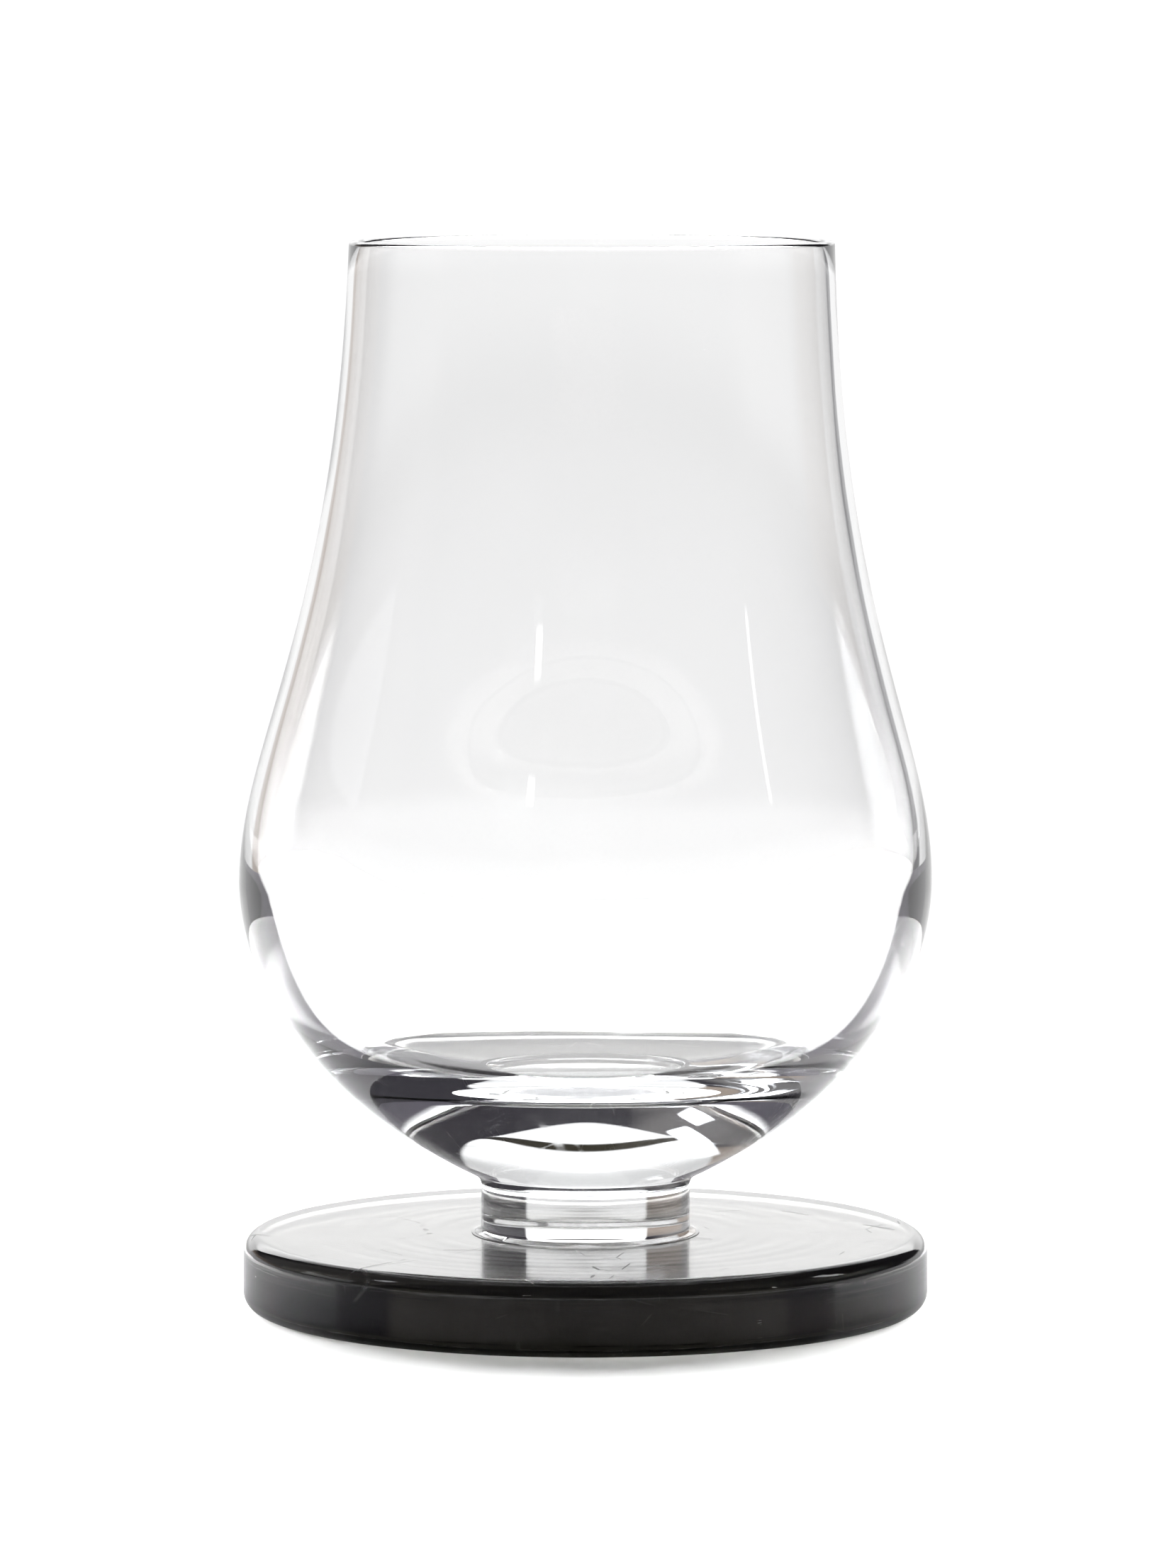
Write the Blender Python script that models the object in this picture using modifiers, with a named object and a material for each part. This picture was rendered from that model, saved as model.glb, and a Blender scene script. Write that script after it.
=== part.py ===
"""Footed whiskey tumbler.

A clear, thick-based bowl stands on a short clear stem, which is bonded to a smoke-grey glass disc.
Every piece is turned about the vertical axis. The origin is the centre of the foot's underside.
"""
import math

import bpy

MM = 0.001

# Driving dimensions
FOOT_DIAMETER = 80.0 * MM
FOOT_THICKNESS = 8.7 * MM
FOOT_EDGE_RADIUS = 2.0 * MM
STEM_DIAMETER = 24.4 * MM
STEM_FLARE = 0.8 * MM
NECK_HEIGHT = 14.3 * MM
NECK_FILLET = 1.5 * MM
BELLY_DIAMETER = 80.7 * MM
BELLY_HEIGHT = 50.1 * MM
MOUTH_DIAMETER = 56.3 * MM
TOTAL_HEIGHT = 124.4 * MM
RIM_WALL = 1.1 * MM
BELLY_WALL = 2.0 * MM
CAVITY_FLOOR_HEIGHT = 28.2 * MM
CAVITY_FLOOR_RADIUS = 24.0 * MM
CAVITY_FLOOR_DISH = 0.8 * MM
BOND_THICKNESS = 0.3 * MM
BOND_MARGIN = 0.3 * MM
CLEARANCE = 0.3 * MM

# Facets
TURN_STEPS = 64
ARC_STEPS = 4
WALL_STEPS = 10
UNDERSIDE_STEPS = 10
MERGE_DISTANCE = 0.01 * MM

# Heights that follow from the stack of pieces
BOND_BOTTOM = FOOT_THICKNESS + CLEARANCE
STEM_BOTTOM = BOND_BOTTOM + BOND_THICKNESS + CLEARANCE
STEM_TOP = NECK_HEIGHT - CLEARANCE

# Radii
FOOT_RADIUS = FOOT_DIAMETER / 2
STEM_RADIUS = STEM_DIAMETER / 2
BELLY_RADIUS = BELLY_DIAMETER / 2
MOUTH_RADIUS = MOUTH_DIAMETER / 2
LIP_RADIUS = RIM_WALL / 2
LIP_HEIGHT = TOTAL_HEIGHT - LIP_RADIUS

# Points that pull the bowl's curves: (radius, height), or one of the two where the curve starts upright
WAIST_FLARE = 1.2 * MM
WAIST_HEIGHT = 79.6 * MM
SHOULDER_HEIGHT = 66.5 * MM
UNDER_BELLY_HEIGHT = 42.8 * MM
UNDERSIDE_PULL = (36.8 * MM, 27.2 * MM)
HEEL_PULL = (33.0 * MM, 30.5 * MM)
HEEL_RISE_HEIGHT = 46.0 * MM
CAVITY_BELLY_HEIGHT = BELLY_HEIGHT + 2 * MM

# Where the bowl's underside runs into the fillet of the neck, and how steeply it arrives there
NECK_SLOPE = math.radians(26)
NECK_TANGENT = (
    STEM_RADIUS + NECK_FILLET * (1 - math.sin(NECK_SLOPE)),
    NECK_HEIGHT + NECK_FILLET * math.cos(NECK_SLOPE),
)


def arc(centre, radius, start_degrees, end_degrees, steps=ARC_STEPS):
    """Points (radius, height) along a circular arc, both ends included."""
    points = []
    for i in range(steps + 1):
        angle = math.radians(start_degrees + (end_degrees - start_degrees) * i / steps)
        points.append((centre[0] + radius * math.cos(angle), centre[1] + radius * math.sin(angle)))
    return points


def bezier(start, pull_start, pull_end, end, steps):
    """Points (radius, height) along a cubic curve, both ends included."""
    points = []
    for i in range(steps + 1):
        t = i / steps
        weights = ((1 - t) ** 3, 3 * (1 - t) ** 2 * t, 3 * (1 - t) * t ** 2, t ** 3)
        corners = (start, pull_start, pull_end, end)
        points.append(tuple(sum(w * c[axis] for w, c in zip(weights, corners)) for axis in (0, 1)))
    return points


def joined(*stretches):
    """One outline from several stretches, without the points where they meet twice."""
    outline = []
    for stretch in stretches:
        for point in stretch:
            if not outline or math.dist(outline[-1], point) > MERGE_DISTANCE:
                outline.append(point)
    return outline


def glass(name, colour, transmission, roughness):
    """Principled material for one piece of glass or resin."""
    material = bpy.data.materials.new(name)
    material.use_nodes = True
    shader = material.node_tree.nodes["Principled BSDF"]
    shader.inputs["Base Color"].default_value = (*colour, 1.0)
    shader.inputs["Metallic"].default_value = 0.0
    shader.inputs["Roughness"].default_value = roughness
    shader.inputs["IOR"].default_value = 1.52
    shader.inputs["Transmission Weight"].default_value = transmission
    material.diffuse_color = (*colour, 1.0)
    return material


def turned(name, outline, material, collection, parent):
    """Solid of revolution. The outline runs down its outer side and ends on the axis."""
    mesh = bpy.data.meshes.new(name)
    edges = [(i, i + 1) for i in range(len(outline) - 1)]
    mesh.from_pydata([(radius, 0.0, height) for radius, height in outline], edges, [])
    mesh.materials.append(material)
    piece = bpy.data.objects.new(name, mesh)
    piece.parent = parent
    collection.objects.link(piece)

    screw = piece.modifiers.new("Turn", "SCREW")
    screw.axis = "Z"
    screw.angle = math.tau
    screw.steps = TURN_STEPS
    screw.render_steps = TURN_STEPS
    screw.use_merge_vertices = True
    screw.merge_threshold = MERGE_DISTANCE
    screw.use_smooth_shade = True
    return piece


def bowl_outline():
    """Cavity floor, inner wall, rounded lip, outer wall, belly, underside and neck."""
    inner_belly = BELLY_RADIUS - BELLY_WALL
    inner_mouth = MOUTH_RADIUS - RIM_WALL
    floor_edge = (CAVITY_FLOOR_RADIUS, CAVITY_FLOOR_HEIGHT + CAVITY_FLOOR_DISH)

    floor = [
        (0.0, CAVITY_FLOOR_HEIGHT),
        (CAVITY_FLOOR_RADIUS / 2, CAVITY_FLOOR_HEIGHT + CAVITY_FLOOR_DISH / 4),
    ]
    heel = bezier(
        floor_edge,
        HEEL_PULL,
        (inner_belly, HEEL_RISE_HEIGHT),
        (inner_belly, CAVITY_BELLY_HEIGHT),
        UNDERSIDE_STEPS,
    )
    inner_wall = bezier(
        (inner_belly, CAVITY_BELLY_HEIGHT),
        (inner_belly, SHOULDER_HEIGHT),
        (inner_mouth + WAIST_FLARE, WAIST_HEIGHT),
        (inner_mouth, LIP_HEIGHT),
        WALL_STEPS,
    )
    lip = arc((MOUTH_RADIUS - LIP_RADIUS, LIP_HEIGHT), LIP_RADIUS, 180, 0)
    outer_wall = bezier(
        (MOUTH_RADIUS, LIP_HEIGHT),
        (MOUTH_RADIUS + WAIST_FLARE, WAIST_HEIGHT),
        (BELLY_RADIUS, SHOULDER_HEIGHT),
        (BELLY_RADIUS, BELLY_HEIGHT),
        WALL_STEPS,
    )
    underside = bezier(
        (BELLY_RADIUS, BELLY_HEIGHT),
        (BELLY_RADIUS, UNDER_BELLY_HEIGHT),
        UNDERSIDE_PULL,
        NECK_TANGENT,
        UNDERSIDE_STEPS,
    )
    neck = arc((STEM_RADIUS + NECK_FILLET, NECK_HEIGHT), NECK_FILLET, 90 + math.degrees(NECK_SLOPE), 180)
    bottom = [(0.0, NECK_HEIGHT)]
    return joined(floor, heel, inner_wall, lip, outer_wall, underside, neck, bottom)


def stem_outline():
    """Straight plug with a small concave flare where it lands on the foot."""
    flare = arc((STEM_RADIUS + STEM_FLARE, STEM_BOTTOM + STEM_FLARE), STEM_FLARE, 180, 270)
    return joined([(0.0, STEM_TOP), (STEM_RADIUS, STEM_TOP)], flare, [(0.0, STEM_BOTTOM)])


def bond_outline():
    """Thin disc that reaches a little past the flare of the stem."""
    radius = STEM_RADIUS + STEM_FLARE + BOND_MARGIN
    top = BOND_BOTTOM + BOND_THICKNESS
    return [(0.0, top), (radius, top), (radius, BOND_BOTTOM), (0.0, BOND_BOTTOM)]


def foot_outline():
    """Flat disc with rounded upper and lower edges."""
    edge = FOOT_RADIUS - FOOT_EDGE_RADIUS
    upper = arc((edge, FOOT_THICKNESS - FOOT_EDGE_RADIUS), FOOT_EDGE_RADIUS, 90, 0)
    lower = arc((edge, FOOT_EDGE_RADIUS), FOOT_EDGE_RADIUS, 0, -90)
    return joined([(0.0, FOOT_THICKNESS)], upper, lower, [(0.0, 0.0)])


def clear_scene():
    for thing in list(bpy.data.objects):
        bpy.data.objects.remove(thing)


def main():
    clear_scene()
    tumbler = bpy.data.collections.new("whiskey_tumbler")
    bpy.context.scene.collection.children.link(tumbler)
    axis = bpy.data.objects.new("tumbler_axis", None)
    tumbler.objects.link(axis)

    bowl_glass = glass("bowl_glass", (0.93, 0.94, 0.95), transmission=1.0, roughness=0.0)
    stem_glass = glass("stem_glass", (0.90, 0.91, 0.92), transmission=1.0, roughness=0.0)
    bond_resin = glass("bond_resin", (0.88, 0.88, 0.84), transmission=0.9, roughness=0.1)
    smoke_glass = glass("smoke_glass", (0.10, 0.10, 0.08), transmission=0.8, roughness=0.03)

    turned("bowl", bowl_outline(), bowl_glass, tumbler, axis)
    turned("stem", stem_outline(), stem_glass, tumbler, axis)
    turned("bond_film", bond_outline(), bond_resin, tumbler, axis)
    turned("foot", foot_outline(), smoke_glass, tumbler, axis)


main()
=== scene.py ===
"""Looks of the footed whiskey tumbler: clear blown bowl and stem, bond line and smoke-glass foot.

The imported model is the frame. Each operator below makes one piece of glass around it, or the studio.
"""
import math

import bpy
from bpy.props import FloatProperty, FloatVectorProperty, IntProperty, PointerProperty
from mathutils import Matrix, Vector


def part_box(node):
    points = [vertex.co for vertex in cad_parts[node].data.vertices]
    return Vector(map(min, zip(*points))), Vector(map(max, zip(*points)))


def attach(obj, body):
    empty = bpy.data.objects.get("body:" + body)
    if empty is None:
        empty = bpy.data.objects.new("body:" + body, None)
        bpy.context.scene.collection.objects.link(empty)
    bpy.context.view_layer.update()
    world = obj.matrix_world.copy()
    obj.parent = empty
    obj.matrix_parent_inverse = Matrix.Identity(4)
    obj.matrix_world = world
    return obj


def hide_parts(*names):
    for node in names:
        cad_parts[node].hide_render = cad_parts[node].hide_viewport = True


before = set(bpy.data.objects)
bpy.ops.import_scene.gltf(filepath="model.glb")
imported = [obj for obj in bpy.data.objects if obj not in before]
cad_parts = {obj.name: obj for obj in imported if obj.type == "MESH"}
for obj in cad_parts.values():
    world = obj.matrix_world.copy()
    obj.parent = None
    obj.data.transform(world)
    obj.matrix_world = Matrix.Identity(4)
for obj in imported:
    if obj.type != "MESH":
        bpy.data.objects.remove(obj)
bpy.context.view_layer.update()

bl_info = {
    "name": "Footed Whiskey Tumbler",
    "version": (1, 0, 0),
    "blender": (4, 5, 0),
    "location": "View3D > Sidebar > Tumbler",
    "description": "Blows a clear bowl and stem and bonds them to a smoke-glass foot",
    "category": "Add Mesh",
}

MM = 0.001

BOWL_LOW, BOWL_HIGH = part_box("bowl")
FOOT_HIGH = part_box("foot")[1]


# ---------------------------------------------------------------- settings


def length(name, description, millimetres):
    default = millimetres * MM
    return FloatProperty(name=name, description=description, default=default, unit="LENGTH", precision=5)


def colour(name, description, value):
    return FloatVectorProperty(
        name=name, description=description, default=value, subtype="COLOR", size=3, min=0.0, soft_max=1.0
    )


class BowlSettings(bpy.types.PropertyGroup):
    """Sizes of the clear bowl and its stem"""

    height: length("Height", "Height of the lip above the table", BOWL_HIGH.z / MM)
    mouth_radius: length("Mouth radius", "Outer radius at the lip", 28.15)
    belly_radius: length("Belly radius", "Widest outer radius", BOWL_HIGH.x / MM)
    belly_height: length("Belly height", "Height of the widest point", 50.1)
    shoulder_height: length("Shoulder", "How high the belly pulls the wall upright", 66.5)
    waist_height: length("Waist", "How low the mouth pulls the wall upright", 79.6)
    waist_flare: length("Waist flare", "How much wider than the mouth the waist aims", 1.2)
    under_belly: length("Under the belly", "How low the belly pulls the underside upright", 42.8)
    underside_radius: length("Underside pull radius", "Radius that the underside is pulled towards", 36.8)
    underside_height: length("Underside pull height", "Height that the underside is pulled towards", 27.2)
    rim_wall: length("Rim wall", "Glass thickness at the lip", 1.1)
    belly_wall: length("Belly wall", "Glass thickness at the belly", 2.0)
    floor_height: length("Drinking floor", "Height of the cavity's floor at its centre", 28.2)
    floor_radius: length("Floor radius", "Radius of the nearly flat floor", 24.0)
    floor_dish: length("Floor dish", "How much the floor rises to its edge", 0.8)
    heel_radius: length("Heel pull radius", "Radius that the cavity's heel is pulled towards", 33.0)
    heel_height: length("Heel pull height", "Height that the cavity's heel is pulled towards", 30.5)
    heel_rise: length("Heel rise", "How low the cavity's wall starts upright", 46.0)
    cavity_lift: length("Cavity lift", "How far above the belly the cavity is widest", 2.0)
    neck_height: length("Neck height", "Where bowl and stem are fused", BOWL_LOW.z / MM)
    neck_fillet: length("Neck fillet", "Radius of the hollow under the bowl", 1.5)
    neck_slope: FloatProperty(
        name="Neck slope", description="How steeply the underside meets the neck", default=math.radians(26),
        subtype="ANGLE",
    )
    stem_radius: length("Stem radius", "Radius of the short stem", 12.2)
    stem_flare: length("Stem flare", "Hollow flare where the stem lands", 0.8)
    lean: length("Lean", "How far the hand-made mouth sits off the foot's axis", 0.75)
    waviness: length("Waviness", "Unevenness left by blowing", 0.04)
    segments: IntProperty(name="Segments", description="Facets round each turned piece", default=192, min=32)


class FootSettings(bpy.types.PropertyGroup):
    """Sizes of the smoke-glass foot and the bond line on it"""

    radius: length("Foot radius", "Radius of the disc", FOOT_HIGH.x / MM)
    thickness: length("Foot thickness", "Thickness of the disc", FOOT_HIGH.z / MM)
    edge_radius: length("Edge radius", "Rounding of the polished edges", 2.0)
    ring_depth: length("Ring depth", "Height of the faint turning rings", 0.008)
    waviness: length("Waviness", "Unevenness left by polishing", 0.03)
    bond_gap: length("Bond gap", "Air left beside the bond film", 0.03)
    bond_film: length("Bond film", "Thickness of the cured film", 0.04)
    bond_margin: length("Bond margin", "How far the film reaches past the stem's flare", 0.3)


class GlassSettings(bpy.types.PropertyGroup):
    """Colours of the two glasses and the resin"""

    clear_tint: colour("Clear glass", "Tint of the clear glass in depth", (0.80, 0.86, 0.90))
    clear_density: FloatProperty(
        name="Clear density", description="Absorption of the clear glass, per metre", default=4.0, min=0.0
    )
    smoke_tint: colour("Smoke glass", "Tint of the foot in depth", (0.095, 0.085, 0.045))
    smoke_density: FloatProperty(
        name="Smoke density", description="Absorption of the foot, per metre", default=74.0, min=0.0
    )


class StudioSettings(bpy.types.PropertyGroup):
    """Floor, light and camera"""

    floor_radius: length("Floor radius", "Radius of the pale floor", 270.0)
    camera_distance: length("Camera distance", "From the glass's axis to the lens", 947.0)
    camera_height: length("Camera height", "Height of the lens above the table", 148.6)
    camera_aside: length("Camera aside", "How far the lens stands to the right", 0.3)
    camera_pitch: FloatProperty(
        name="Camera pitch", description="How far the camera looks down", default=math.radians(5.27),
        subtype="ANGLE",
    )
    lens: FloatProperty(name="Lens", description="Focal length in millimetres", default=187.6)
    pale: colour("Floor", "Colour of the floor", (0.90, 0.90, 0.90))
    sweep_low: FloatProperty(name="Sweep, low", description="Backdrop just above the table", default=1.12)
    sweep_middle: FloatProperty(name="Sweep, middle", description="Backdrop behind the belly", default=1.03)
    sweep_high: FloatProperty(name="Sweep, high", description="Backdrop behind the mouth", default=0.94)
    mirror: FloatProperty(name="Mirror light", description="Backdrop that the foot's top shows", default=1.65)
    panel: FloatProperty(name="Panel", description="Light panel above the backdrop", default=3.0)
    beyond: colour("Beyond the panel", "Wall above the light panel", (1.05, 1.05, 1.06))
    gap: colour("Gap", "Dark gap between backdrop and light panel", (0.05, 0.045, 0.03))
    # The dark room colour is also the painted shade on the floor seen in the glass.
    dark: colour("Dark room", "Unlit room beside and in front", (0.045, 0.042, 0.050))
    left_room: colour("Left room", "Dimly lit room at the left", (0.24, 0.23, 0.23))
    beige: colour("Beige wall", "Warm wall at the left of the backdrop", (0.42, 0.35, 0.30))
    window: colour("Window", "Window high at the left", (9.0, 9.2, 9.6))
    dome: FloatProperty(name="Dome", description="Light on the floor from all round", default=0.06)
    dome_ring: FloatProperty(name="Low ring", description="Light on the floor from low down", default=0.14)
    dome_back: FloatProperty(name="Back ring", description="More low light from behind", default=46.0)


# ---------------------------------------------------------------- outlines


def arc(centre, radius, start_degrees, end_degrees, steps):
    """Points (radius, height) along a circular arc, both ends included."""
    points = []
    for i in range(steps + 1):
        angle = math.radians(start_degrees + (end_degrees - start_degrees) * i / steps)
        points.append((centre[0] + radius * math.cos(angle), centre[1] + radius * math.sin(angle)))
    return points


def bezier(start, pull_start, pull_end, end, steps):
    """Points (radius, height) along a cubic curve, both ends included."""
    points = []
    for i in range(steps + 1):
        t = i / steps
        weights = ((1 - t) ** 3, 3 * (1 - t) ** 2 * t, 3 * (1 - t) * t ** 2, t ** 3)
        corners = (start, pull_start, pull_end, end)
        points.append(tuple(sum(w * c[axis] for w, c in zip(weights, corners)) for axis in (0, 1)))
    return points


def line(start, end, steps):
    """Points (radius, height) along a straight stretch, both ends included."""
    return [
        (start[0] + (end[0] - start[0]) * i / steps, start[1] + (end[1] - start[1]) * i / steps)
        for i in range(steps + 1)
    ]


def joined(*stretches):
    """One outline from several stretches, without the points where they meet twice."""
    outline = []
    for stretch in stretches:
        for point in stretch:
            if not outline or math.dist(outline[-1], point) > 0.001 * MM:
                outline.append(point)
    return outline


def bowl_outline(bowl, stem_bottom):
    """Cavity floor, heel, inner wall, lip, outer wall, underside, neck, stem and its lower face."""
    inner_belly = bowl.belly_radius - bowl.belly_wall
    inner_mouth = bowl.mouth_radius - bowl.rim_wall
    cavity_belly = bowl.belly_height + bowl.cavity_lift
    lip = bowl.rim_wall / 2
    lip_height = bowl.height - lip
    floor_edge = (bowl.floor_radius, bowl.floor_height + bowl.floor_dish)
    neck_tangent = (
        bowl.stem_radius + bowl.neck_fillet * (1 - math.sin(bowl.neck_slope)),
        bowl.neck_height + bowl.neck_fillet * math.cos(bowl.neck_slope),
    )

    floor = bezier(
        (0.0, bowl.floor_height),
        (0.4 * bowl.floor_radius, bowl.floor_height),
        (0.6 * bowl.floor_radius, bowl.floor_height + 0.2 * bowl.floor_dish),
        floor_edge,
        16,
    )
    heel = bezier(
        floor_edge,
        (bowl.heel_radius, bowl.heel_height),
        (inner_belly, bowl.heel_rise),
        (inner_belly, cavity_belly),
        40,
    )
    inner_wall = bezier(
        (inner_belly, cavity_belly),
        (inner_belly, bowl.shoulder_height),
        (inner_mouth + bowl.waist_flare, bowl.waist_height),
        (inner_mouth, lip_height),
        36,
    )
    lip_arc = arc((bowl.mouth_radius - lip, lip_height), lip, 180, 0, 12)
    outer_wall = bezier(
        (bowl.mouth_radius, lip_height),
        (bowl.mouth_radius + bowl.waist_flare, bowl.waist_height),
        (bowl.belly_radius, bowl.shoulder_height),
        (bowl.belly_radius, bowl.belly_height),
        36,
    )
    underside = bezier(
        (bowl.belly_radius, bowl.belly_height),
        (bowl.belly_radius, bowl.under_belly),
        (bowl.underside_radius, bowl.underside_height),
        neck_tangent,
        44,
    )
    neck_centre = (bowl.stem_radius + bowl.neck_fillet, bowl.neck_height)
    neck = arc(neck_centre, bowl.neck_fillet, 90 + math.degrees(bowl.neck_slope), 180, 10)
    flare_centre = (bowl.stem_radius + bowl.stem_flare, stem_bottom + bowl.stem_flare)
    stem = line((bowl.stem_radius, bowl.neck_height), (bowl.stem_radius, flare_centre[1]), 4)
    flare = arc(flare_centre, bowl.stem_flare, 180, 265, 8)
    under = line((flare[-1][0], stem_bottom), (0.0, stem_bottom), 6)
    return joined(floor, heel, inner_wall, lip_arc, outer_wall, underside, neck, stem, flare, under)


def foot_outline(foot):
    """Ringed top face, rounded edges, side wall and flat underside."""
    edge = foot.radius - foot.edge_radius
    wide_rings = 1.3 * MM
    fine_rings = 0.47 * MM
    count = 90
    top = []
    for i in range(count + 1):
        share = i / count
        ring = math.sin(edge * share / wide_rings) + 0.6 * math.sin(edge * share / fine_rings)
        top.append((edge * share, foot.thickness + foot.ring_depth * ring * 4 * share * (1 - share)))
    upper = arc((edge, foot.thickness - foot.edge_radius), foot.edge_radius, 90, 0, 14)
    side = line((foot.radius, foot.thickness - foot.edge_radius), (foot.radius, foot.edge_radius), 16)
    lower = arc((edge, foot.edge_radius), foot.edge_radius, 0, -90, 14)
    under = line((edge, 0.0), (0.0, 0.0), 8)
    return joined(top, upper, side, lower, under)


# ---------------------------------------------------------------- modelling


def deselect_all():
    if bpy.context.object is not None and bpy.context.object.mode != "OBJECT":
        bpy.ops.object.mode_set(mode="OBJECT")
    bpy.ops.object.select_all(action="DESELECT")


def turn_outline(name, outline, segments):
    """Draws the outline as an edge by extruding one vertex, then spins it round the vertical axis."""
    deselect_all()
    bpy.ops.mesh.primitive_plane_add(size=MM, location=(0, 0, 0))
    piece = bpy.context.object
    piece.name = name
    piece.data.name = name
    bpy.ops.object.mode_set(mode="EDIT")
    bpy.ops.mesh.select_mode(type="VERT")
    bpy.ops.mesh.select_all(action="SELECT")
    bpy.ops.mesh.merge(type="CENTER")
    bpy.ops.transform.translate(value=(outline[0][0], 0, outline[0][1]))
    for before, after in zip(outline, outline[1:]):
        step = (after[0] - before[0], 0, after[1] - before[1])
        bpy.ops.mesh.extrude_region_move(TRANSFORM_OT_translate={"value": step})
    bpy.ops.mesh.select_all(action="SELECT")
    bpy.ops.mesh.spin(steps=segments, angle=math.tau, center=(0, 0, 0), axis=(0, 0, 1))
    bpy.ops.mesh.select_all(action="SELECT")
    bpy.ops.mesh.remove_doubles(threshold=0.0005 * MM)
    bpy.ops.mesh.normals_make_consistent(inside=False)
    bpy.ops.object.mode_set(mode="OBJECT")
    bpy.ops.object.shade_smooth()
    return piece


def apply_modifier(piece, modifier):
    bpy.context.view_layer.objects.active = piece
    bpy.ops.object.modifier_apply(modifier=modifier.name)


def add_waviness(piece, depth, size):
    """Soft unevenness of hand-worked glass."""
    noise = bpy.data.textures.new(piece.name + "_waviness", "CLOUDS")
    noise.noise_scale = size
    noise.noise_depth = 1
    displace = piece.modifiers.new("Waviness", "DISPLACE")
    displace.texture = noise
    displace.texture_coords = "LOCAL"
    displace.strength = depth
    displace.mid_level = 0.5
    apply_modifier(piece, displace)


def add_lean(piece, from_height, to_height, lean):
    """Tips everything above a height sideways, evenly up to the full lean at the top."""
    group = piece.vertex_groups.new(name="lean")
    for vertex in piece.data.vertices:
        share = (vertex.co.z - from_height) / (to_height - from_height)
        if share > 0:
            group.add([vertex.index], min(share, 1.0), "REPLACE")
    displace = piece.modifiers.new("Lean", "DISPLACE")
    displace.direction = "X"
    displace.vertex_group = group.name
    displace.strength = lean
    displace.mid_level = 0.0
    apply_modifier(piece, displace)
    piece.vertex_groups.clear()


def finish_piece(piece, material, slot, *replaced):
    """Gives the piece its one material, hangs it on the root body and hides the parts of the frame that it
    replaces.
    """
    piece.data.materials.clear()
    piece.data.materials.append(material)
    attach(piece, "root")
    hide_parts(*replaced)


# ---------------------------------------------------------------- node building


class NodeBuilder:
    """Short calls for the chains of math nodes that shape a light or a surface."""

    def __init__(self, tree):
        self.tree = tree

    def node(self, kind, **settings):
        node = self.tree.nodes.new(kind)
        for name, value in settings.items():
            setattr(node, name, value)
        return node

    def put(self, socket, value):
        if isinstance(value, bpy.types.NodeSocket):
            self.tree.links.new(value, socket)
        elif socket.type == "RGBA":
            socket.default_value = (*value, 1.0)
        else:
            socket.default_value = value

    def math(self, operation, first, second=0.0):
        node = self.node("ShaderNodeMath", operation=operation)
        self.put(node.inputs[0], first)
        self.put(node.inputs[1], second)
        return node.outputs["Value"]

    def both(self, *masks):
        """Product of masks"""
        product = masks[0]
        for mask in masks[1:]:
            product = self.math("MULTIPLY", product, mask)
        return product

    def either(self, *masks):
        """Largest of masks"""
        largest = masks[0]
        for mask in masks[1:]:
            largest = self.math("MAXIMUM", largest, mask)
        return largest

    def outside(self, mask):
        return self.math("SUBTRACT", 1.0, mask)

    def ramp(self, value, low, high, at_low=0.0, at_high=1.0):
        """Smooth step from one value to another"""
        node = self.node("ShaderNodeMapRange", interpolation_type="SMOOTHSTEP")
        for name, setting in zip(("Value", "From Min", "From Max", "To Min", "To Max"),
                                 (value, low, high, at_low, at_high)):
            self.put(node.inputs[name], setting)
        return node.outputs["Result"]

    def band(self, value, low, high, soft):
        """One between low and high, zero outside, with soft edges"""
        rise = self.ramp(value, low - soft, low + soft)
        fall = self.ramp(value, high - soft, high + soft, 1.0, 0.0)
        return self.both(rise, fall)

    def mix(self, factor, first, second):
        node = self.node("ShaderNodeMix", data_type="RGBA")
        self.put(node.inputs["Factor"], factor)
        colours = [socket for socket in node.inputs if socket.type == "RGBA"]
        self.put(colours[0], first)
        self.put(colours[1], second)
        return [socket for socket in node.outputs if socket.type == "RGBA"][0]

    def grey(self, value):
        node = self.node("ShaderNodeCombineColor")
        for channel in node.inputs:
            self.put(channel, value)
        return node.outputs["Color"]

    def split(self, vector):
        node = self.node("ShaderNodeSeparateXYZ")
        self.put(node.inputs["Vector"], vector)
        return node.outputs

    def object_place(self):
        return self.node("ShaderNodeTexCoord").outputs["Object"]

    def stretched(self, vector, scale):
        node = self.node("ShaderNodeMapping")
        self.put(node.inputs["Vector"], vector)
        node.inputs["Scale"].default_value = scale
        return node.outputs["Vector"]

    def noise(self, vector, scale, detail=2.0, distortion=0.0):
        node = self.node("ShaderNodeTexNoise")
        self.put(node.inputs["Vector"], vector)
        self.put(node.inputs["Scale"], scale)
        self.put(node.inputs["Detail"], detail)
        self.put(node.inputs["Distortion"], distortion)
        return node.outputs["Fac"]


def from_axis(build, x, y):
    """Distance from the vertical axis"""
    return build.math("SQRT", build.math("ADD", build.math("POWER", x, 2.0), build.math("POWER", y, 2.0)))


# ---------------------------------------------------------------- shared effects


def new_group(name, inputs, outputs):
    """Empty shader node group with named float sockets."""
    group = bpy.data.node_groups.new(name, "ShaderNodeTree")
    for socket, default in inputs:
        made = group.interface.new_socket(socket, in_out="INPUT", socket_type="NodeSocketFloat")
        made.default_value = default
    for socket in outputs:
        group.interface.new_socket(socket, in_out="OUTPUT", socket_type="NodeSocketFloat")
    build = NodeBuilder(group)
    entry = build.node("NodeGroupInput").outputs
    result = build.node("NodeGroupOutput").inputs
    return group, build, entry, result


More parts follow.
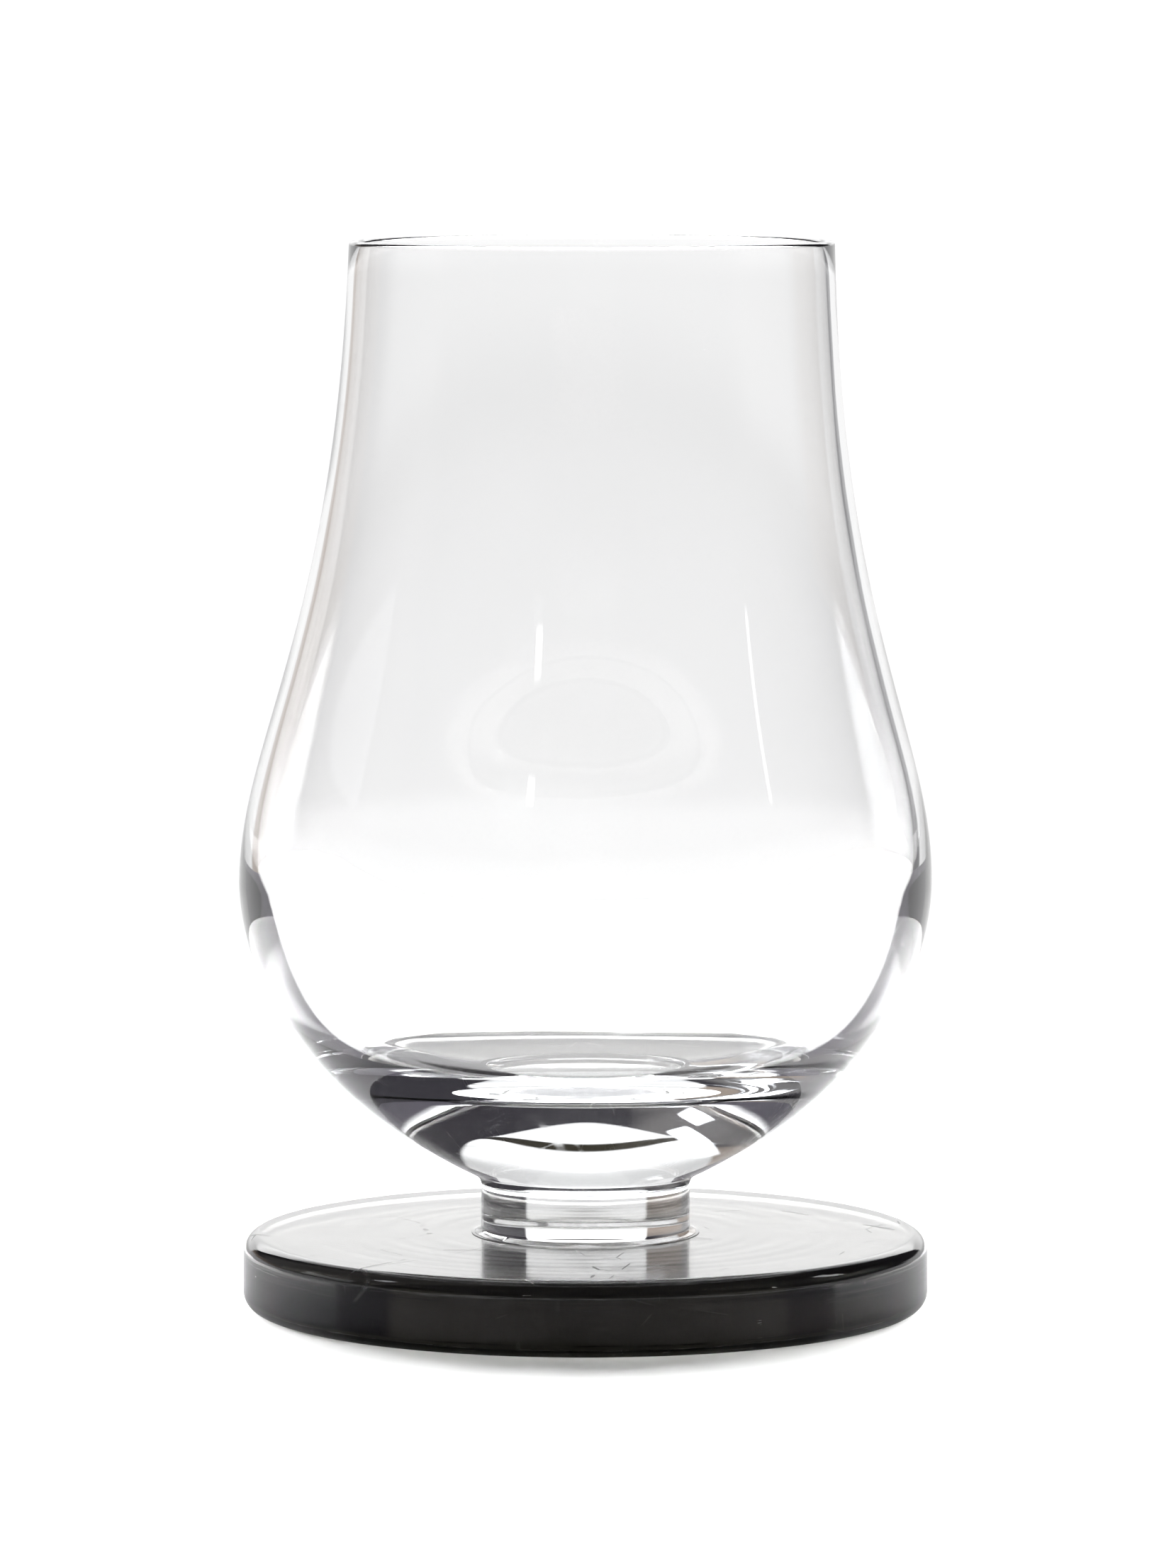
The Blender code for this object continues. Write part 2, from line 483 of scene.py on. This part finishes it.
def make_handling_haze():
    """Smudges left by fingers and a cloth: a roughness that comes and goes over centimetres."""
    inputs = [("Size", 12 * MM), ("Amount", 0.03)]
    group, build, entry, result = new_group("handling_haze", inputs, ["Roughness"])
    place = build.object_place()
    scale = build.math("DIVIDE", 1.0, entry["Size"])
    patches = build.ramp(build.noise(place, scale, 3.0), 0.48, 0.68)
    wiped = build.noise(build.stretched(place, (1.0, 1.0, 5.0)), build.math("MULTIPLY", scale, 3.0), 4.0, 0.6)
    haze = build.both(patches, build.ramp(wiped, 0.35, 0.75), entry["Amount"])
    build.put(result["Roughness"], haze)
    return group


def make_hairline_scratches():
    """Few, very thin scratches that run long over the surface."""
    inputs = [("Size", 20 * MM), ("Amount", 0.2)]
    group, build, entry, result = new_group("hairline_scratches", inputs, ["Roughness"])
    place = build.object_place()
    scale = build.math("DIVIDE", 1.0, entry["Size"])
    lines = []
    for turn, stretch in ((0.35, (1.0, 1.0, 0.22)), (-0.5, (0.4, 0.4, 1.0))):
        mapping = build.node("ShaderNodeMapping")
        build.put(mapping.inputs["Vector"], place)
        mapping.inputs["Rotation"].default_value = (turn, turn, 0.0)
        mapping.inputs["Scale"].default_value = stretch
        cells = build.node("ShaderNodeTexVoronoi", feature="DISTANCE_TO_EDGE")
        build.put(cells.inputs["Vector"], mapping.outputs["Vector"])
        build.put(cells.inputs["Scale"], scale)
        lines.append(build.ramp(cells.outputs["Distance"], 0.002, 0.007, 1.0, 0.0))
    broken = build.ramp(build.noise(place, build.math("MULTIPLY", scale, 2.0)), 0.52, 0.60)
    build.put(result["Roughness"], build.both(build.either(*lines), broken, entry["Amount"]))
    return group


def make_polished_ripple():
    """Ripple that polishing leaves: long across the piece, short up its wall."""
    inputs = [("Length", 20 * MM), ("Height", 1 * MM), ("Amount", 1.0)]
    group, build, entry, result = new_group("polished_ripple", inputs, ["Height"])
    x, y, z = build.split(build.object_place())
    along = build.math("DIVIDE", 1.0, entry["Length"])
    upward = build.math("DIVIDE", 1.0, entry["Height"])
    vector = build.node("ShaderNodeCombineXYZ")
    build.put(vector.inputs["X"], build.math("MULTIPLY", x, along))
    build.put(vector.inputs["Y"], build.math("MULTIPLY", y, along))
    build.put(vector.inputs["Z"], build.math("MULTIPLY", z, upward))
    ripple = build.noise(vector.outputs["Vector"], 1.0, 3.0)
    build.put(result["Height"], build.both(ripple, entry["Amount"]))
    return group


def make_turned_rings():
    """Concentric rings about the vertical axis, with uneven spacing, faded in on faces near a height."""
    inputs = [("Spacing", 2 * MM), ("Level", 0.0), ("Amount", 1.0)]
    group, build, entry, result = new_group("turned_rings", inputs, ["Height"])
    x, y, z = build.split(build.object_place())
    radius = from_axis(build, x, y)
    vector = build.node("ShaderNodeCombineXYZ")
    build.put(vector.inputs["X"], build.math("DIVIDE", radius, entry["Spacing"]))
    build.put(vector.inputs["Y"], build.math("MULTIPLY", x, 12.0))
    build.put(vector.inputs["Z"], build.math("MULTIPLY", y, 12.0))
    rings = build.noise(vector.outputs["Vector"], 1.0, 2.0)
    near = build.math("SUBTRACT", z, entry["Level"])
    near = build.ramp(build.math("ABSOLUTE", near), 0.1 * MM, 0.5 * MM, 1.0, 0.0)
    build.put(result["Height"], build.both(rings, near, entry["Amount"]))
    return group


EFFECTS = {
    "handling_haze": make_handling_haze,
    "hairline_scratches": make_hairline_scratches,
    "polished_ripple": make_polished_ripple,
    "turned_rings": make_turned_rings,
}


def effect(build, name, output, **settings):
    """Places a shared effect in a material, making its group the first time."""
    group = bpy.data.node_groups.get(name) or EFFECTS[name]()
    node = build.node("ShaderNodeGroup", node_tree=group)
    for socket, value in settings.items():
        build.put(node.inputs[socket.capitalize()], value)
    return node.outputs[output]


# ---------------------------------------------------------------- materials


def new_glass(name, index):
    """Principled glass with plain metallic, transmission and index."""
    material = bpy.data.materials.new(name)
    material.use_nodes = True
    shader = material.node_tree.nodes["Principled BSDF"]
    shader.inputs["Base Color"].default_value = (1.0, 1.0, 1.0, 1.0)
    shader.inputs["Metallic"].default_value = 0.0
    shader.inputs["Transmission Weight"].default_value = 1.0
    shader.inputs["IOR"].default_value = index
    return material, shader, NodeBuilder(material.node_tree)


def add_depth_tint(material, tint, density):
    """Colour that deepens with the length of the path through the glass."""
    tree = material.node_tree
    absorption = tree.nodes.new("ShaderNodeVolumeAbsorption")
    absorption.inputs["Color"].default_value = (*tint, 1.0)
    absorption.inputs["Density"].default_value = density
    tree.links.new(absorption.outputs["Volume"], tree.nodes["Material Output"].inputs["Volume"])


def bump(build, shader, height, distance):
    node = build.node("ShaderNodeBump")
    node.inputs["Distance"].default_value = distance
    build.put(node.inputs["Height"], height)
    build.put(shader.inputs["Normal"], node.outputs["Normal"])


def clear_glass(glasses):
    material, shader, build = new_glass("clear_blown_glass", 1.5)
    add_depth_tint(material, glasses.clear_tint, glasses.clear_density)
    haze = effect(build, "handling_haze", "Roughness", size=14 * MM, amount=0.012)
    scratches = effect(build, "hairline_scratches", "Roughness", size=26 * MM, amount=0.08)
    build.put(shader.inputs["Roughness"], build.math("ADD", haze, scratches))
    return material


def smoke_glass(glasses, foot):
    material, shader, build = new_glass("smoke_glass", 1.52)
    add_depth_tint(material, glasses.smoke_tint, glasses.smoke_density)
    haze = effect(build, "handling_haze", "Roughness", size=10 * MM, amount=0.05)
    scratches = effect(build, "hairline_scratches", "Roughness", size=15 * MM, amount=0.25)
    height = build.split(build.object_place())["Z"]
    top = build.ramp(height, foot.thickness - 0.6 * MM, foot.thickness - 0.1 * MM)
    soft_top = build.math("MULTIPLY", top, 0.13)
    build.put(shader.inputs["Roughness"], build.math("ADD", soft_top, build.math("ADD", haze, scratches)))
    wall = effect(build, "polished_ripple", "Height", length=22 * MM, height=0.55 * MM, amount=1.0)
    wall = build.both(wall, build.outside(top))
    rings = effect(build, "turned_rings", "Height", spacing=2.2 * MM, level=foot.thickness, amount=0.45)
    bump(build, shader, build.math("ADD", wall, rings), 0.035 * MM)
    return material


def bond_resin():
    material, shader, build = new_glass("bond_resin", 1.45)
    haze = effect(build, "handling_haze", "Roughness", size=3 * MM, amount=0.10)
    build.put(shader.inputs["Roughness"], haze)
    return material


# ---------------------------------------------------------------- pieces


class TUMBLER_OT_blow_bowl(bpy.types.Operator):
    """Blow the clear bowl and draw its stem in one piece of glass"""

    bl_idname = "tumbler.blow_bowl"
    bl_label = "Bowl and Stem"

    def execute(self, context):
        bowl = context.scene.tumbler_bowl
        foot = context.scene.tumbler_foot
        stem_bottom = foot.thickness + 2 * foot.bond_gap + foot.bond_film
        piece = turn_outline("blown_bowl_and_stem", bowl_outline(bowl, stem_bottom), bowl.segments)
        add_waviness(piece, bowl.waviness, 18 * MM)
        add_lean(piece, bowl.belly_height, bowl.height, bowl.lean)
        material = clear_glass(context.scene.tumbler_glass)
        finish_piece(piece, material, "bowl_glass", "bowl", "stem")
        return {"FINISHED"}


class TUMBLER_OT_pour_bond(bpy.types.Operator):
    """Pour the thin resin film that bonds the stem to the foot"""

    bl_idname = "tumbler.pour_bond"
    bl_label = "Bond Film"

    def execute(self, context):
        foot = context.scene.tumbler_foot
        bowl = context.scene.tumbler_bowl
        low = foot.thickness + foot.bond_gap
        high = low + foot.bond_film
        radius = bowl.stem_radius + bowl.stem_flare + foot.bond_margin
        rim = arc((radius, (low + high) / 2), foot.bond_film / 2, 90, -90, 6)
        outline = joined(line((0.0, high), (radius, high), 8), rim, line((radius, low), (0.0, low), 8))
        piece = turn_outline("bond_film_disc", outline, bowl.segments)
        finish_piece(piece, bond_resin(), "bond_resin", "bond_film")
        return {"FINISHED"}


class TUMBLER_OT_cut_foot(bpy.types.Operator):
    """Cut and polish the smoke-glass disc that the tumbler stands on"""

    bl_idname = "tumbler.cut_foot"
    bl_label = "Foot"

    def execute(self, context):
        foot = context.scene.tumbler_foot
        segments = context.scene.tumbler_bowl.segments
        piece = turn_outline("smoke_glass_foot", foot_outline(foot), segments)
        add_waviness(piece, foot.waviness, 12 * MM)
        material = smoke_glass(context.scene.tumbler_glass, foot)
        finish_piece(piece, material, "smoke_glass", "foot")
        return {"FINISHED"}


# ---------------------------------------------------------------- studio

# How many faces of glass a line of sight has met before it leaves: one is a plain mirror image, three is
# an edge of the wall, four is straight through both walls, more is lost in the thick base for a while,
# and past the last number it has run round inside the wall.
MIRRORED = 1
THROUGH_ONE_WALL = 2
THROUGH_EDGE = 3
THROUGH_WALLS = 4
ROUND_THE_WALL = 12

# Stretches of the room in degrees, from and to. Azimuth is to the right of straight behind the glass.
BACKDROP = (-25.5, 24.5)
BACKDROP_FADE = (55.0, 60.0)
LEFT_SIDE = (-105.0, -36.0)
GAP = (9.8, 13.5)
GAP_CURVE = 0.022
LIGHT_PANEL = (14.0, 29.0)
LOW_RING = (6.0, 28.0)

# Patches of the room in degrees: azimuth from and to, elevation from and to
WARM_WALL = (-58.0, -22.0, -20.0, 10.0)
WINDOW = (-80.0, -50.0, 42.0, 54.0)
LAMP = (-49.0, -42.0, 22.0, 32.0)

# Parts of the floor left out of the painted shade, so they stay pale inside the glass: azimuths in degrees,
# distances from the axis
FLOOR_BEHIND = (-38.0, 34.0)
FLOOR_STREAK = (-30.0, -12.0)
STREAK_DISTANCE = (49 * MM, 62 * MM)

# Lights that only show as a mirror image: azimuths and elevations that they fill, in degrees, and colour
MIRRORED_LIGHTS = (
    (-161.2, -158.8, 22.6, 24.8, (14.0, 14.0, 14.0)),
    (111.5, 112.6, 17.0, 22.0, (7.0, 7.0, 7.0)),
    (-93.0, -66.0, 14.0, 24.0, (1.0, 1.0, 1.02)),
    (-94.0, -86.0, 41.0, 49.0, (4.0, 4.0, 4.2)),
    (70.0, 78.0, 30.0, 42.0, (4.0, 4.0, 4.0)),
)


class TUMBLER_OT_set_studio(bpy.types.Operator):
    """Lay the pale floor, paint the room and its soft lights, and place the camera"""

    bl_idname = "tumbler.set_studio"
    bl_label = "Studio"

    def execute(self, context):
        studio = context.scene.tumbler_studio
        lay_floor(studio)
        paint_room(context.scene, studio)
        place_camera(context.scene, studio)
        set_look(context.scene)
        return {"FINISHED"}


def azimuth_of(build, x, y):
    """Degrees to the right of straight behind the glass"""
    return build.math("DEGREES", build.math("ARCTAN2", x, y))


def patch(build, azimuth, elevation, edges, soft_across, soft_up):
    """One inside a patch of the room, zero outside, with soft edges"""
    left, right, low, high = edges
    across = build.band(azimuth, left, right, soft_across)
    return build.both(across, build.band(elevation, low, high, soft_up))


def met(build, depth, fewest, most):
    """One for lines of sight that have met this many faces"""
    return build.band(depth, fewest - 0.5, most + 0.5, 0.1)


def lay_floor(studio):
    """Pale disc with painted shade: lines of sight that have wandered through the glass find it painted dark
    outside the backdrop, and mirrored ones find it painted dark under the bowl and in front.
    """
    deselect_all()
    bpy.ops.mesh.primitive_circle_add(
        vertices=96, radius=studio.floor_radius, fill_type="NGON", location=(0, 0, -0.05 * MM)
    )
    floor = bpy.context.object
    floor.name = "pale_floor"
    material = bpy.data.materials.new("pale_floor")
    material.use_nodes = True
    build = NodeBuilder(material.node_tree)
    shader = material.node_tree.nodes["Principled BSDF"]
    shader.inputs["Roughness"].default_value = 0.6
    shader.inputs["Specular IOR Level"].default_value = 0.0
    # The floor's base colour holds painted shade: pale, turned to the dark room colour where the mask is set.
    build.put(shader.inputs["Base Color"], build.mix(painted_floor_shade(build), studio.pale, studio.dark))
    floor.data.materials.append(material)


def painted_floor_shade(build):
    """Mask of painted shade on the floor: where it is painted dark as seen in the glass, by place and by how
    often the glass was met
    """
    x, y = build.split(build.object_place())[:2]
    azimuth = azimuth_of(build, x, y)
    away = from_axis(build, x, y)
    depth = build.node("ShaderNodeLightPath").outputs["Ray Depth"]
    edge = met(build, depth, THROUGH_EDGE, THROUGH_EDGE)
    lost = met(build, depth, THROUGH_WALLS + 1, ROUND_THE_WALL)
    mirror = met(build, depth, MIRRORED, MIRRORED)

    behind = build.band(azimuth, *FLOOR_BEHIND, 3.0)
    # Painted shade: lines of sight lost in the base find the floor painted dark beyond the foot and outside
    # the backdrop.
    aside = build.both(lost, build.ramp(away, 45 * MM, 65 * MM), build.outside(behind))
    in_streak = build.band(azimuth, *FLOOR_STREAK, 2.0)
    streak = build.both(in_streak, build.band(away, *STREAK_DISTANCE, 1 * MM))
    # Painted shade: lines of sight through an edge of the wall find the floor painted dark, all but a pale
    # streak.
    painted_shade_for_edge = build.both(edge, build.outside(streak))
    # Painted shade in the mirror image: the floor under and near the bowl is painted dark, fading out further
    # away.
    painted_shade_under_bowl = build.both(mirror, build.ramp(away, 50 * MM, 140 * MM, 0.7, 0.0))
    # Painted dark reflection: the floor in front, which the foot's side mirrors, is painted dark.
    painted_dark_in_front = build.both(mirror, build.ramp(y, -30 * MM, -20 * MM, 0.85, 0.0))
    return build.either(aside, painted_shade_for_edge, painted_shade_under_bowl, painted_dark_in_front)


def paint_room(scene, studio):
    """Room round the table: bright backdrop behind, dark sides, and plain white straight past the glass.

    The room counts one more than the faces that a line of sight has met, so one is taken off.
    """
    world = bpy.data.worlds.new("studio")
    world.use_nodes = True
    world.cycles.sampling_method = "NONE"
    scene.world = world
    build = NodeBuilder(world.node_tree)
    direction = build.node("ShaderNodeTexCoord").outputs["Generated"]
    x, y, z = build.split(direction)
    azimuth = azimuth_of(build, x, y)
    elevation = build.math("DEGREES", build.math("ARCSINE", z))
    path = build.node("ShaderNodeLightPath").outputs
    depth = build.math("SUBTRACT", path["Ray Depth"], 1.0)

    room = dark_sides(build, studio, azimuth, elevation, depth)
    behind = build.band(azimuth, *BACKDROP, 1.0)
    below_top = build.ramp(elevation, *BACKDROP_FADE, 1.0, 0.0)
    room = build.mix(build.both(behind, below_top), room, backdrop(build, studio, azimuth, elevation, depth))

    off_floor = build.math("GREATER_THAN", path["Diffuse Depth"], 0.5)
    room = build.mix(off_floor, room, floor_light(build, studio, y, elevation))
    room = build.mix(path["Is Camera Ray"], room, (1.1, 1.1, 1.1))
    build.put(world.node_tree.nodes["Background"].inputs["Color"], room)


def dark_sides(build, studio, azimuth, elevation, depth):
    """Unlit room, a dim left side with a warm wall and a window, and a pale strip low at both sides"""
    left = build.band(azimuth, *LEFT_SIDE, 8.0)
    room = build.mix(left, studio.dark, studio.left_room)
    warm = patch(build, azimuth, elevation, WARM_WALL, 2.0, 3.0)
    room = build.mix(warm, room, studio.beige)
    window = patch(build, azimuth, elevation, WINDOW, 1.5, 1.5)
    lamp = patch(build, azimuth, elevation, LAMP, 1.0, 1.0)
    lost = met(build, depth, THROUGH_WALLS + 2, ROUND_THE_WALL)
    room = build.mix(build.both(lost, build.either(window, lamp)), room, studio.window)
    aside = build.ramp(build.math("ABSOLUTE", azimuth), 62.0, 75.0)
    low = build.ramp(elevation, 2.0, 8.0, 1.0, 0.0)
    through = build.math("LESS_THAN", depth, THROUGH_EDGE + 0.5)
    room = build.mix(build.both(through, aside, low), room, (0.98, 0.98, 0.99))
    one_wall = met(build, depth, THROUGH_ONE_WALL, THROUGH_ONE_WALL)
    both_walls = met(build, depth, THROUGH_WALLS, THROUGH_WALLS)
    room = build.mix(build.either(one_wall, both_walls), room, (0.98, 0.98, 0.99))
    mirrored = build.math("LESS_THAN", depth, MIRRORED + 0.5)
    grazed = build.both(mirrored, build.ramp(elevation, 4.0, 8.0, 1.0, 0.0))
    grazed = build.both(grazed, build.ramp(build.math("ABSOLUTE", azimuth), 100.0, 110.0, 1.0, 0.0))
    room = build.mix(grazed, room, (0.93, 0.93, 0.94))
    for *edges, brightness in MIRRORED_LIGHTS:
        light = patch(build, azimuth, elevation, edges, 0.4, 0.6)
        room = build.mix(build.both(light, met(build, depth, MIRRORED, MIRRORED)), room, brightness)
    return room


def backdrop(build, studio, azimuth, elevation, depth):
    """Brightness up the backdrop, with a dark gap that curves like a bowl under the light panel"""
    glow = build.ramp(elevation, -7.4, -6.2, studio.sweep_low, studio.sweep_middle)
    upper_step = studio.sweep_high - studio.sweep_middle
    glow = build.math("ADD", glow, build.ramp(elevation, -6.6, -1.8, 0.0, upper_step))
    glow = build.math("ADD", glow, build.ramp(elevation, 0.0, 6.0, 0.0, studio.mirror - studio.sweep_high))
    gap_height = build.math("MULTIPLY", build.math("POWER", azimuth, 2.0), GAP_CURVE)
    gap_height = build.math("SUBTRACT", elevation, gap_height)
    gap = build.both(build.band(gap_height, *GAP, 0.6), build.math("GREATER_THAN", depth, MIRRORED + 0.5))
    panel = build.both(build.band(elevation, *LIGHT_PANEL, 1.5), build.outside(gap))
    wall = build.mix(gap, build.grey(glow), studio.gap)
    wall = build.mix(panel, wall, (studio.panel,) * 3)
    return build.mix(build.ramp(elevation, LIGHT_PANEL[1], LIGHT_PANEL[1] + 2.0), wall, studio.beyond)


def floor_light(build, studio, y, elevation):
    """Soft light that falls on the floor: a weak dome, and a low ring that is stronger behind"""
    ring = build.band(elevation, *LOW_RING, 4.0)
    from_behind = build.both(build.ramp(y, 0.25, 0.8), studio.dome_back)
    strength = build.math("ADD", from_behind, studio.dome_ring)
    return build.grey(build.math("ADD", build.math("MULTIPLY", ring, strength), studio.dome))


def place_camera(scene, studio):
    camera_data = bpy.data.cameras.new("studio_camera")
    camera_data.lens = studio.lens
    camera_data.sensor_width = 36.0
    camera = bpy.data.objects.new("studio_camera", camera_data)
    camera.location = (studio.camera_aside, -studio.camera_distance, studio.camera_height)
    camera.rotation_euler = (math.radians(90) - studio.camera_pitch, 0, 0)
    scene.collection.objects.link(camera)
    scene.camera = camera


def set_look(scene):
    """Plain colours, enough bounces to get through solid glass, and no cap on light seen through it"""
    scene.view_settings.view_transform = "Standard"
    scene.view_settings.look = "None"
    scene.cycles.max_bounces = 32
    scene.cycles.transmission_bounces = 32
    scene.cycles.glossy_bounces = 16
    scene.cycles.diffuse_bounces = 4
    scene.cycles.sample_clamp_indirect = 0.0
    scene.cycles.use_denoising = True


# ---------------------------------------------------------------- panel


class TUMBLER_PT_panel(bpy.types.Panel):
    """Lists the tumbler's settings and the pieces it is made of"""

    bl_label = "Whiskey Tumbler"
    bl_idname = "TUMBLER_PT_panel"
    bl_space_type = "VIEW_3D"
    bl_region_type = "UI"
    bl_category = "Tumbler"

    def draw(self, context):
        for group in SETTINGS:
            settings = getattr(context.scene, group)
            box = self.layout.box()
            box.label(text=settings.bl_rna.description)
            for name in settings.__annotations__:
                box.prop(settings, name)
        for operator in PIECES:
            self.layout.operator(operator.bl_idname)


SETTINGS = {
    "tumbler_bowl": BowlSettings,
    "tumbler_foot": FootSettings,
    "tumbler_glass": GlassSettings,
    "tumbler_studio": StudioSettings,
}
PIECES = (TUMBLER_OT_blow_bowl, TUMBLER_OT_pour_bond, TUMBLER_OT_cut_foot, TUMBLER_OT_set_studio)


def register():
    for cls in (*SETTINGS.values(), *PIECES, TUMBLER_PT_panel):
        bpy.utils.register_class(cls)
    for name, cls in SETTINGS.items():
        setattr(bpy.types.Scene, name, PointerProperty(type=cls))


def unregister():
    for name in SETTINGS:
        delattr(bpy.types.Scene, name)
    for cls in reversed((*SETTINGS.values(), *PIECES, TUMBLER_PT_panel)):
        bpy.utils.unregister_class(cls)


def main():
    register()
    bpy.ops.tumbler.blow_bowl()
    bpy.ops.tumbler.pour_bond()
    bpy.ops.tumbler.cut_foot()
    bpy.ops.tumbler.set_studio()


if __name__ == "__main__":
    main()
